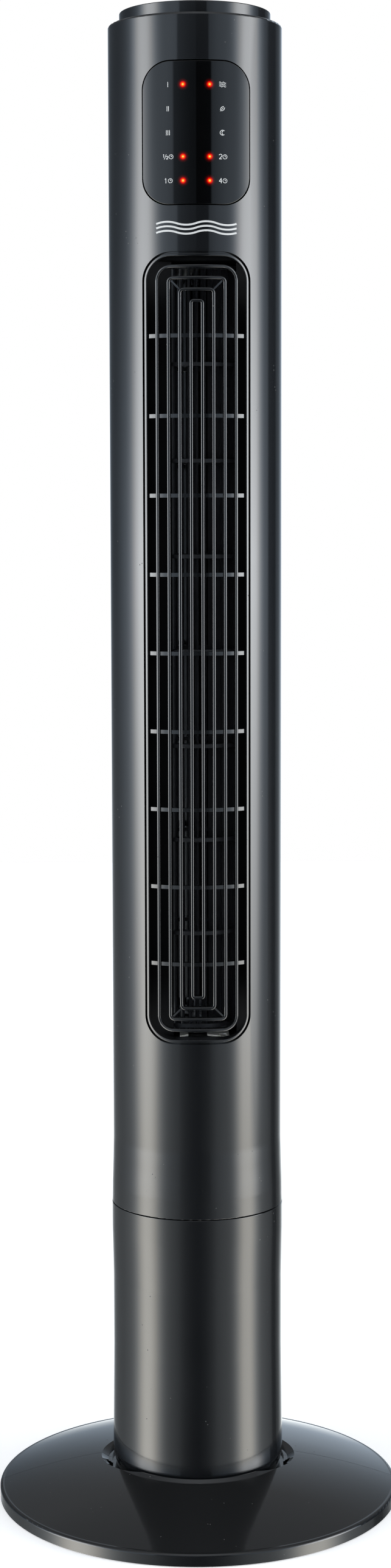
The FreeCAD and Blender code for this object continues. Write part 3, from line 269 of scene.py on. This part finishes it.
# ---- materials ----
def plastic(name, dark, light, rough, blotch=18.0, grain=900.0, grain_depth=0.000002,
            dust=0.0, painted_top_light=0.0, ior=1.5):
    """Moulded plastic: faint blotches, a fine grain and, if asked, dust and painted light: a lighter tint on
    level tops standing in for the light falling on them.
    """
    material, tree, shader = fresh_material(name)
    place = own_place(tree)
    colour = mixed_colour(tree, spread(tree, noise(tree, place, blotch), 0.0, 1.0), dark, light)
    gloss = spread(tree, noise(tree, place, blotch * 2.3), rough[0], rough[1])
    # Painted light: upward-facing surfaces are tinted lighter, standing in for the light that falls on them.
    if painted_top_light:
        facing = node(tree, "SeparateXYZ", (-1100, 300))
        joined_to(tree, node(tree, "NewGeometry", (-1300, 300)).outputs["Normal"], facing.inputs["Vector"])
        level = spread(tree, facing.outputs["Z"], 0.0, 1.0, PAINTED_TOP_LIGHT_FROM, PAINTED_TOP_LIGHT_FULL)
        colour = mixed_colour(tree, level, colour, tuple(painted_top_light * tint for tint in PAINTED_TOP_LIGHT_TINT))
    if dust:
        dots = specks(tree, place, DUST_SCALE, DUST_SIZE, DUST_COVER)
        colour = mixed_colour(tree, dots, colour, tuple(dust * tint for tint in DUST_TINT))
        rougher = node(tree, "Mix", (-300, -200))
        joined_to(tree, dots, rougher.inputs["Factor"])
        joined_to(tree, gloss, rougher.inputs["A"])
        rougher.inputs["B"].default_value = DUST_ROUGH
        gloss = rougher.outputs["Result"]
    joined_to(tree, colour, shader.inputs["Base Color"])
    joined_to(tree, gloss, shader.inputs["Roughness"])
    joined_to(tree, bumped(tree, noise(tree, place, grain), grain_depth), shader.inputs["Normal"])
    shader.inputs["IOR"].default_value = ior
    return material


def metal(name, dark, light, rough, brushing=(1.0, 1.0, 1.0), grain=1200.0, grain_depth=0.000004):
    """Bare or plated metal; brushing stretches its grain along the small components."""
    material, tree, shader = fresh_material(name)
    place = own_place(tree)
    stretched = node(tree, "VectorMath", (-1100, 0), operation="MULTIPLY")
    joined_to(tree, place, stretched.inputs[0])
    stretched.inputs[1].default_value = brushing
    lines = noise(tree, stretched.outputs["Vector"], grain)
    stains = noise(tree, place, 60.0)
    colour = mixed_colour(tree, spread(tree, stains, 0.0, 1.0), dark, light)
    joined_to(tree, colour, shader.inputs["Base Color"])
    joined_to(tree, spread(tree, lines, rough[0], rough[1]), shader.inputs["Roughness"])
    joined_to(tree, bumped(tree, lines, grain_depth), shader.inputs["Normal"])
    shader.inputs["Metallic"].default_value = 1.0
    return material


def arithmetic(tree, operation, first, second=None):
    """One maths node; each input is a socket or a number."""
    made = node(tree, "Math", (-700, 0), operation=operation)
    for socket, value in zip(made.inputs, (first, second)):
        if value is None:
            continue
        if isinstance(value, float):
            socket.default_value = value
        else:
            joined_to(tree, value, socket)
    return made.outputs["Value"]


def distance_to_lamp(tree, place):
    """Distance in the plane of the window to the nearest lit lamp."""
    parts = node(tree, "SeparateXYZ", (-1100, 0))
    joined_to(tree, place, parts.inputs["Vector"])
    across = arithmetic(tree, "SUBTRACT", arithmetic(tree, "ABSOLUTE", parts.outputs["X"]), LAMP_X)
    along = None
    for row in LIT_ROWS:
        gap = arithmetic(tree, "ABSOLUTE", arithmetic(tree, "SUBTRACT", parts.outputs["Z"], lamp_z(row)))
        along = gap if along is None else arithmetic(tree, "MINIMUM", along, gap)
    squares = arithmetic(tree, "ADD", arithmetic(tree, "MULTIPLY", across, across),
                         arithmetic(tree, "MULTIPLY", along, along))
    return arithmetic(tree, "SQRT", squares)


def smoked_window(name):
    """Near-black glossy acrylic in which each lit lamp glows: a yellow heart in a red halo."""
    material, tree, shader = fresh_material(name)
    place = own_place(tree)
    smoke = mixed_colour(tree, spread(tree, noise(tree, place, 30.0), 0.0, 1.0),
                         (0.0006, 0.0006, 0.0007), (0.0010, 0.0010, 0.0011))
    joined_to(tree, smoke, shader.inputs["Base Color"])
    joined_to(tree, spread(tree, noise(tree, place, 50.0), 0.03, 0.05), shader.inputs["Roughness"])
    joined_to(tree, bumped(tree, noise(tree, place, 60.0), 0.0000015), shader.inputs["Normal"])
    share = spread(tree, distance_to_lamp(tree, place), 0.0, 1.0, 0.0, GLOW_REACH)
    joined_to(tree, colour_ramp(tree, share, GLOW_STOPS), shader.inputs["Emission Color"])
    shader.inputs["Emission Strength"].default_value = 1.0
    shader.inputs["IOR"].default_value = 1.49
    return material


def lamp_red(name):
    """Red lamp body of clear dyed resin with fine bubbles."""
    material, tree, shader = fresh_material(name)
    place = own_place(tree)
    speckled = mixed_colour(tree, spread(tree, noise(tree, place, 900.0), 0.0, 1.0),
                            (0.30, 0.02, 0.015), (0.36, 0.03, 0.02))
    joined_to(tree, speckled, shader.inputs["Base Color"])
    joined_to(tree, spread(tree, noise(tree, place, 300.0), 0.12, 0.22), shader.inputs["Roughness"])
    joined_to(tree, bumped(tree, noise(tree, place, 700.0), 0.000003), shader.inputs["Normal"])
    shader.inputs["IOR"].default_value = 1.5
    return material


def lamp_z(row):
    """Height of a row of lamps, counted from the bottom."""
    return lamps_low.z + LAMP_R + row * LAMP_PITCH


def circuit_green(name):
    """Solder-masked board: copper tracks show as a faint lighter pattern under the mask."""
    material, tree, shader = fresh_material(name)
    place = own_place(tree)
    tracks = node(tree, "TexBrick", (-900, 0))
    tracks.inputs["Scale"].default_value = 160.0
    tracks.inputs["Mortar Size"].default_value = 0.08
    joined_to(tree, place, tracks.inputs["Vector"])
    colour = mixed_colour(tree, tracks.outputs["Fac"], (0.008, 0.075, 0.030), (0.020, 0.130, 0.055))
    joined_to(tree, colour, shader.inputs["Base Color"])
    joined_to(tree, spread(tree, noise(tree, place, 200.0), 0.25, 0.4), shader.inputs["Roughness"])
    joined_to(tree, bumped(tree, tracks.outputs["Fac"], 0.00003), shader.inputs["Normal"])
    return material


def print_white(name):
    """Off-white ink of the printed labels."""
    material, tree, shader = fresh_material(name)
    place = own_place(tree)
    worn = spread(tree, noise(tree, place, 2500.0), 0.0, 1.0)
    colour = mixed_colour(tree, worn, (0.44, 0.44, 0.43), (0.50, 0.50, 0.49))
    joined_to(tree, colour, shader.inputs["Base Color"])
    joined_to(tree, spread(tree, noise(tree, place, 900.0), 0.4, 0.55), shader.inputs["Roughness"])
    return material


def make_finishes():
    """Every material slot of the record, with the material that stands for it."""
    black = (0.0046, 0.0051, 0.0058)
    black_light = (0.0056, 0.0061, 0.0069)
    return {
        # gloss_black gets painted light: its level tops are tinted lighter, standing in for the light
        # falling on them.
        "gloss_black": plastic("gloss_black", black, black_light, (0.05, 0.09), dust=0.05, painted_top_light=0.0085),
        "satin_black": plastic("satin_black", (0.0036, 0.0038, 0.0042), (0.0052, 0.0054, 0.0060),
                               (0.45, 0.55), ior=1.2),
        "wheel_black": plastic("wheel_black", (0.026, 0.027, 0.030), (0.036, 0.037, 0.041), (0.30, 0.42)),
        "smoked_lens": smoked_window("smoked_lens"),
        "foot_rubber": plastic("foot_rubber", (0.012, 0.012, 0.012), (0.022, 0.022, 0.021), (0.75, 0.9),
                               grain=1500.0, grain_depth=0.00002),
        "screw_steel": metal("screw_steel", (0.50, 0.50, 0.52), (0.62, 0.62, 0.63), (0.22, 0.36)),
        "zinc_steel": metal("zinc_steel", (0.84, 0.83, 0.78), (0.93, 0.92, 0.87), (0.50, 0.65),
                            brushing=(1.0, 0.12, 1.0)),
        "motor_steel": metal("motor_steel", (0.34, 0.34, 0.35), (0.46, 0.46, 0.46), (0.35, 0.5),
                             brushing=(1.0, 1.0, 0.1)),
        "hub_aluminium": metal("hub_aluminium", (0.66, 0.67, 0.69), (0.78, 0.78, 0.79), (0.25, 0.4),
                               brushing=(1.0, 1.0, 0.15)),
        "bronze": metal("bronze", (0.42, 0.24, 0.10), (0.55, 0.33, 0.15), (0.4, 0.6)),
        "white_pom": plastic("white_pom", (0.62, 0.62, 0.60), (0.70, 0.70, 0.68), (0.3, 0.42)),
        "board_green": circuit_green("board_green"),
        "component_black": plastic("component_black", (0.014, 0.014, 0.015), (0.024, 0.024, 0.025),
                                   (0.4, 0.55)),
        "capacitor_white": plastic("capacitor_white", (0.60, 0.60, 0.57), (0.70, 0.70, 0.67), (0.3, 0.45)),
        "lamp_red": lamp_red("lamp_red"),
    }


def finish_nodes(finishes):
    """Give each CAD node the finish that its record slot names."""
    for part in frame["record"]["subparts"]:
        piece = frame["nodes"][part["node"]]
        piece.data.materials.clear()
        piece.data.materials.append(finishes[part["material_slot"]])


# ---- prints: flat strokes wrapped onto the lens or laid on a key ----
def bar(x0, z0, x1, z1, width):
    """Four corners of a straight stroke."""
    start, end = Vector((x0, z0)), Vector((x1, z1))
    along = (end - start).normalized()
    across = Vector((-along.y, along.x)) * width / 2
    return [start + across, start - across, end - across, end + across]


def arc(x, z, radius, start, end, width, steps=14):
    """Strokes along an arc, angles in degrees."""
    strokes = []
    for step in range(steps):
        first = math.radians(start + (end - start) * step / steps)
        last = math.radians(start + (end - start) * (step + 1) / steps)
        strokes.append([
            Vector((x + (radius + side) * math.cos(angle), z + (radius + side) * math.sin(angle)))
            for angle, side in (
                (first, width / 2), (first, -width / 2), (last, -width / 2), (last, width / 2))
        ])
    return strokes


def printed(name, strokes, place, body, material):
    """One raised print made of strokes; place turns a flat point and a height into a point."""
    mesh = bpy.data.meshes.new(name)
    shape = bmesh.new()
    for stroke in strokes:
        base = [shape.verts.new(place(corner, 0.0)) for corner in stroke]
        top = [shape.verts.new(place(corner, PRINT_PROUD)) for corner in stroke]
        count = len(stroke)
        shape.faces.new(top)
        shape.faces.new(list(reversed(base)))
        for index in range(count):
            following = (index + 1) % count
            shape.faces.new([base[index], base[following], top[following], top[index]])
    bmesh.ops.recalc_face_normals(shape, faces=shape.faces)
    shape.to_mesh(mesh)
    shape.free()
    mesh.materials.append(material)
    piece = bpy.data.objects.new(name, mesh)
    bpy.context.scene.collection.objects.link(piece)
    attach(piece, body)
    return piece


def numeral(value, x, z, height, stroke):
    """A plain numeral drawn from strokes: 1, 2 or 4."""
    half, wide = height / 2, height * 0.28
    if value == 1:
        return [bar(x, z - half, x, z + half, stroke),
                bar(x - wide * 0.7, z + half * 0.55, x, z + half, stroke)]
    if value == 4:
        return [bar(x + wide * 0.5, z - half, x + wide * 0.5, z + half, stroke),
                bar(x - wide, z - half * 0.3, x + wide, z - half * 0.3, stroke),
                bar(x - wide, z - half * 0.3, x + wide * 0.5, z + half, stroke)]
    bow = arc(x, z + half - wide, wide, 165, -35, stroke)
    return bow + [bar(x + wide * 0.80, z + half - wide * 1.6, x - wide, z - half + stroke / 2, stroke),
                  bar(x - wide, z - half + stroke / 2, x + wide, z - half + stroke / 2, stroke)]


def hour_mark(x, z):
    """A small clock that stands for hours."""
    radius = LABEL_HEIGHT * CLOCK_R
    stroke = LABEL_STROKE * THIN
    hands = [bar(x, z, x, z + radius * 0.66, stroke), bar(x, z, x + radius * 0.55, z, stroke)]
    return arc(x, z, radius, 0, 360, stroke, 20) + hands


def upright_bars(count, x, z):
    """One to three upright strokes that count the speeds."""
    half = LABEL_HEIGHT / 2
    places = [x + (index - (count - 1) / 2) * BARS_PITCH for index in range(count)]
    return [bar(place, z - half, place, z + half, LABEL_STROKE) for place in places]


def half_mark(x, z):
    """The fraction one half."""
    half = LABEL_HEIGHT / 2
    small = LABEL_HEIGHT * HALF_NUMERAL
    rise = LABEL_HEIGHT * HALF_RISE
    slash = bar(x - SLASH_FOOT, z - half, x + SLASH_HEAD, z + half, LABEL_STROKE * THIN)
    return (numeral(1, x - HALF_SPREAD, z + rise, small, LABEL_STROKE)
            + numeral(2, x + HALF_SPREAD, z - rise, small, LABEL_STROKE) + [slash])


def wavy_line(x, z, half, swell, stroke):
    """One gentle wave of two humps and two hollows."""
    quarter = half / 2
    radius = (quarter ** 2 / 4 + swell ** 2) / (2 * swell)
    lean = math.degrees(math.asin(quarter / 2 / radius))
    drop = radius - swell
    strokes = []
    for index in range(4):
        middle = x - half + quarter * (index + 0.5)
        if index % 2 == 0:
            strokes += arc(middle, z - drop, radius, 90 + lean, 90 - lean, stroke)
        else:
            strokes += arc(middle, z + drop, radius, 270 - lean, 270 + lean, stroke)
    return strokes


def air_mark(x, z):
    """Three small waves that stand for steady air."""
    strokes = []
    for level in (-1, 0, 1):
        strokes += wavy_line(x, z + level * AIR_PITCH, AIR_HALF, AIR_SWELL, LABEL_STROKE * 0.9)
    return strokes


def leaf_mark(x, z):
    """A leaf with its stem, for the natural breeze."""
    blade = arc(x - LEAF_OFFSET, z + LEAF_OFFSET, LEAF_R, -85, -5, LABEL_STROKE, 8)
    blade += arc(x + LEAF_OFFSET, z - LEAF_OFFSET, LEAF_R, 95, 175, LABEL_STROKE, 8)
    stem = bar(x - STEM_FOOT, z - STEM_FOOT, x + STEM_HEAD, z + STEM_HEAD, LABEL_STROKE * THIN)
    return blade + [stem]


def moon_mark(x, z):
    """A crescent moon, for the night setting."""
    outside = arc(x, z, MOON_R, 50, 310, LABEL_STROKE)
    return outside + arc(x + MOON_BITE_X, z, MOON_BITE_R, 78, 282, LABEL_STROKE, 12)


def hours(value, x, z):
    """A number of hours: the numeral and a small clock."""
    return numeral(value, x - HOURS_LEFT, z, LABEL_HEIGHT, LABEL_STROKE) + hour_mark(x + HOURS_RIGHT, z)


def label_strokes(side, row):
    """Strokes of one label beside a lamp, rows counted from the bottom."""
    x, z = side * LABEL_X + LABEL_SHIFT, lamp_z(row)
    left = (
        hours(1, x, z),
        half_mark(x - HALF_LEFT, z) + hour_mark(x + HALF_RIGHT, z),
        upright_bars(3, x, z), upright_bars(2, x, z), upright_bars(1, x, z),
    )
    right = (hours(4, x, z), hours(2, x, z), moon_mark(x, z), leaf_mark(x, z), air_mark(x, z))
    return left[row] if side < 0 else right[row]


def on_lens(corner, height):
    """Point on the front of the lens; height stands out from it."""
    angle = math.asin(corner.x / LENS_CURVE_R)
    radius = LENS_CURVE_R + height
    return Vector((radius * math.sin(angle), LENS_CENTRE_Y - radius * math.cos(angle), corner.y))


def on_tower(corner, height):
    """Point on the front of the tower; height stands out from it."""
    angle = math.asin(corner.x / TOWER_R)
    radius = TOWER_R + height
    return Vector((radius * math.sin(angle), -radius * math.cos(angle), corner.y))


def make_labels(ink):
    for side, name in ((-1, "left"), (1, "right")):
        for row in range(LAMP_ROWS):
            label = "label_%s_%d" % (name, row + 1)
            printed(label, label_strokes(side, row), on_lens, "tower", ink)


def make_wave_mark(ink):
    """Plain three-wave ornament under the display."""
    middle = lens_low.z - WAVES_BELOW_LENS
    strokes = []
    for level in (-1, 0, 1):
        strokes += wavy_line(0.0, middle + level * WAVES_PITCH, WAVES_HALF, WAVES_SWELL, WAVES_STROKE)
    printed("wave_ornament", strokes, on_tower, "tower", ink)


def power_mark():
    """A ring open at the top, with an upright stroke in the gap."""
    stem = bar(0, KEY_MARK * 0.2, 0, KEY_MARK * 1.15, KEY_STROKE)
    return arc(0, 0, KEY_MARK, 125, 415, KEY_STROKE, 18) + [stem]


def speed_mark():
    """Three round blades of a fan."""
    blades = []
    for turn in (90, 210, 330):
        lean = math.radians(turn)
        x, z = KEY_MARK * 0.55 * math.cos(lean), KEY_MARK * 0.55 * math.sin(lean)
        blades += arc(x, z, KEY_MARK * 0.5, turn - 150, turn + 90, KEY_STROKE, 9)
    return blades


def mode_mark():
    """Three level strokes, a list."""
    heights = [level * KEY_MARK * 0.7 for level in (-1, 0, 1)]
    return [bar(-KEY_MARK, height, KEY_MARK, height, KEY_STROKE) for height in heights]


def timer_mark():
    """A clock."""
    hands = [bar(0, 0, 0, KEY_MARK * 0.62, KEY_STROKE), bar(0, 0, KEY_MARK * 0.5, 0, KEY_STROKE)]
    return arc(0, 0, KEY_MARK, 0, 360, KEY_STROKE, 20) + hands


def swing_mark():
    """An arc with an arrow head at each end."""
    sweep = arc(0, -KEY_MARK * 0.6, KEY_MARK * 1.3, 35, 145, KEY_STROKE, 12)
    for side in (-1, 1):
        x, z = side * KEY_MARK * 1.07, KEY_MARK * 0.15
        sweep += [bar(x, z, x - side * KEY_MARK * 0.1, z + KEY_MARK * 0.6, KEY_STROKE),
                  bar(x, z, x - side * KEY_MARK * 0.6, z - KEY_MARK * 0.02, KEY_STROKE)]
    return sweep


def make_key_prints(ink):
    """Symbols laid in the shallow dish of each key."""
    marks = {"power": power_mark, "speed": speed_mark, "mode": mode_mark, "timer": timer_mark,
             "swing": swing_mark}
    for name, (low, high) in key_boxes.items():
        centre = (low + high) / 2
        floor = high.z - KEY_DISH_DEPTH

        def in_dish(corner, height, centre=centre, floor=floor):
            rise = KEY_DISH_R - math.sqrt(KEY_DISH_R ** 2 - corner.length_squared)
            return Vector((centre.x + corner.x, centre.y + corner.y, floor + rise + height))

        printed("print_" + name, marks[name](), in_dish, "key_" + name, ink)


# ---- studio ----
def compass_angle(tree, parts):
    """Angle round the compass in degrees, 0 at the front and positive on the right."""
    toward = arithmetic(tree, "MULTIPLY", parts.outputs["Y"], -1.0)
    return arithmetic(tree, "DEGREES", arithmetic(tree, "ARCTAN2", parts.outputs["X"], toward))


def lamp_light(tree, angle, middle, flat, soft, brightness):
    """Light of one soft lamp: full over its flat part, then fading like a bell."""
    gap = arithmetic(tree, "ABSOLUTE", arithmetic(tree, "SUBTRACT", angle, float(middle)))
    gap = arithmetic(tree, "MINIMUM", gap, arithmetic(tree, "SUBTRACT", 360.0, gap))
    edge = arithmetic(tree, "MAXIMUM", arithmetic(tree, "SUBTRACT", gap, float(flat)), 0.0)
    share = arithmetic(tree, "DIVIDE", edge, float(soft))
    square = arithmetic(tree, "MULTIPLY", share, share)
    fade = arithmetic(tree, "EXPONENT", arithmetic(tree, "MULTIPLY", square, -1.0))
    return arithmetic(tree, "MULTIPLY", fade, float(brightness))


def behind_cloth(tree, light, angle, start, end, edge, share):
    """Light that a dark cloth between two angles dims to a share of itself."""
    after = spread(tree, angle, 0.0, 1.0, start - edge, start + edge)
    before = spread(tree, angle, 1.0, 0.0, end - edge, end + edge)
    covered = arithmetic(tree, "MULTIPLY", after, before)
    return arithmetic(tree, "MULTIPLY", light, spread(tree, covered, 1.0, share, 0.0, 1.0))


def band_light(tree, angle, fill, lamps, cloths, shade_tint, light_tint):
    """Light of one band of the walls: its shades and its bright parts each have a tint."""
    light = fill
    for lamp in lamps:
        light = arithmetic(tree, "ADD", lamp_light(tree, angle, *lamp), light)
    for cloth in cloths:
        light = behind_cloth(tree, light, angle, *cloth)
    bright = spread(tree, light, 0.0, 1.0, TINT_FROM, TINT_FULL)
    tint = mixed_colour(tree, bright, shade_tint, light_tint)
    tinted = node(tree, "Mix", (-200, 0), data_type="RGBA", blend_type="MULTIPLY")
    tinted.inputs["Factor"].default_value = 1.0
    joined_to(tree, light, tinted.inputs["A"])
    joined_to(tree, tint, tinted.inputs["B"])
    return tinted.outputs["Result"]


def make_world():
    """Soft studio: two tall lights at the sides, a dark front and a dim ceiling."""
    world = bpy.data.worlds.new("studio")
    bpy.context.scene.world = world
    world.use_nodes = True
    tree = world.node_tree
    tree.nodes.clear()
    direction = node(tree, "TexCoord", (-1400, 0)).outputs["Generated"]
    parts = node(tree, "SeparateXYZ", (-1200, 0))
    joined_to(tree, direction, parts.inputs["Vector"])
    angle = compass_angle(tree, parts)
    height = arithmetic(tree, "ARCSINE", parts.outputs["Z"])
    lights = [band_light(tree, angle, *band[1:]) for band in BANDS]
    levels = [math.radians(band[0]) for band in BANDS]
    whole = lights[0]
    for light, below, level in zip(lights[1:], levels, levels[1:]):
        whole = mixed_colour(tree, spread(tree, height, 0.0, 1.0, below, level), whole, light)
    room = node(tree, "Background", (200, 0))
    joined_to(tree, whole, room.inputs["Color"])
    backdrop = node(tree, "Background", (200, -200))
    backdrop.inputs["Color"].default_value = (1.0, 1.0, 1.0, 1.0)
    seen = node(tree, "LightPath", (200, 300))
    choice = node(tree, "MixShader", (400, 0))
    joined_to(tree, seen.outputs["Is Camera Ray"], choice.inputs["Fac"])
    joined_to(tree, room.outputs["Background"], choice.inputs[1])
    joined_to(tree, backdrop.outputs["Background"], choice.inputs[2])
    output = node(tree, "OutputWorld", (600, 0))
    joined_to(tree, choice.outputs["Shader"], output.inputs["Surface"])


def make_floor():
    """Plain pale floor that stays out of the reflections."""
    half = FLOOR_HALF
    mesh = bpy.data.meshes.new("floor")
    corners = [(-half, -half, 0), (half, -half, 0), (half, half, 0), (-half, half, 0)]
    mesh.from_pydata(corners, [], [(0, 1, 2, 3)])
    floor = bpy.data.objects.new("floor", mesh)
    bpy.context.scene.collection.objects.link(floor)
    floor.visible_glossy = False
    paint = plastic("floor_paint", (0.86, 0.86, 0.86), (0.88, 0.88, 0.88), (0.8, 0.9))
    shader = paint.node_tree.nodes["Principled BSDF"]
    shader.inputs["Emission Color"].default_value = (1.0, 1.0, 1.0, 1.0)
    shader.inputs["Emission Strength"].default_value = FLOOR_LIFT
    mesh.materials.append(paint)


def make_camera():
    data = bpy.data.cameras.new("camera")
    data.lens = CAMERA_LENS
    data.clip_end = CAMERA_REACH
    camera = bpy.data.objects.new("camera", data)
    bpy.context.scene.collection.objects.link(camera)
    orbit = math.radians(CAMERA_ORBIT)
    camera.location = (-CAMERA_DISTANCE * math.sin(orbit), -CAMERA_DISTANCE * math.cos(orbit), CAMERA_HEIGHT)
    camera.rotation_euler = (math.radians(90 - CAMERA_PITCH), math.radians(CAMERA_ROLL),
                             math.radians(CAMERA_AIM - CAMERA_ORBIT))
    bpy.context.scene.camera = camera


def build():
    bpy.context.scene.view_settings.view_transform = "Standard"
    make_camera()
    make_world()
    make_floor()
    finishes = make_finishes()
    finish_nodes(finishes)
    ink = print_white("print_white")
    make_labels(ink)
    make_wave_mark(ink)
    make_key_prints(ink)


build()
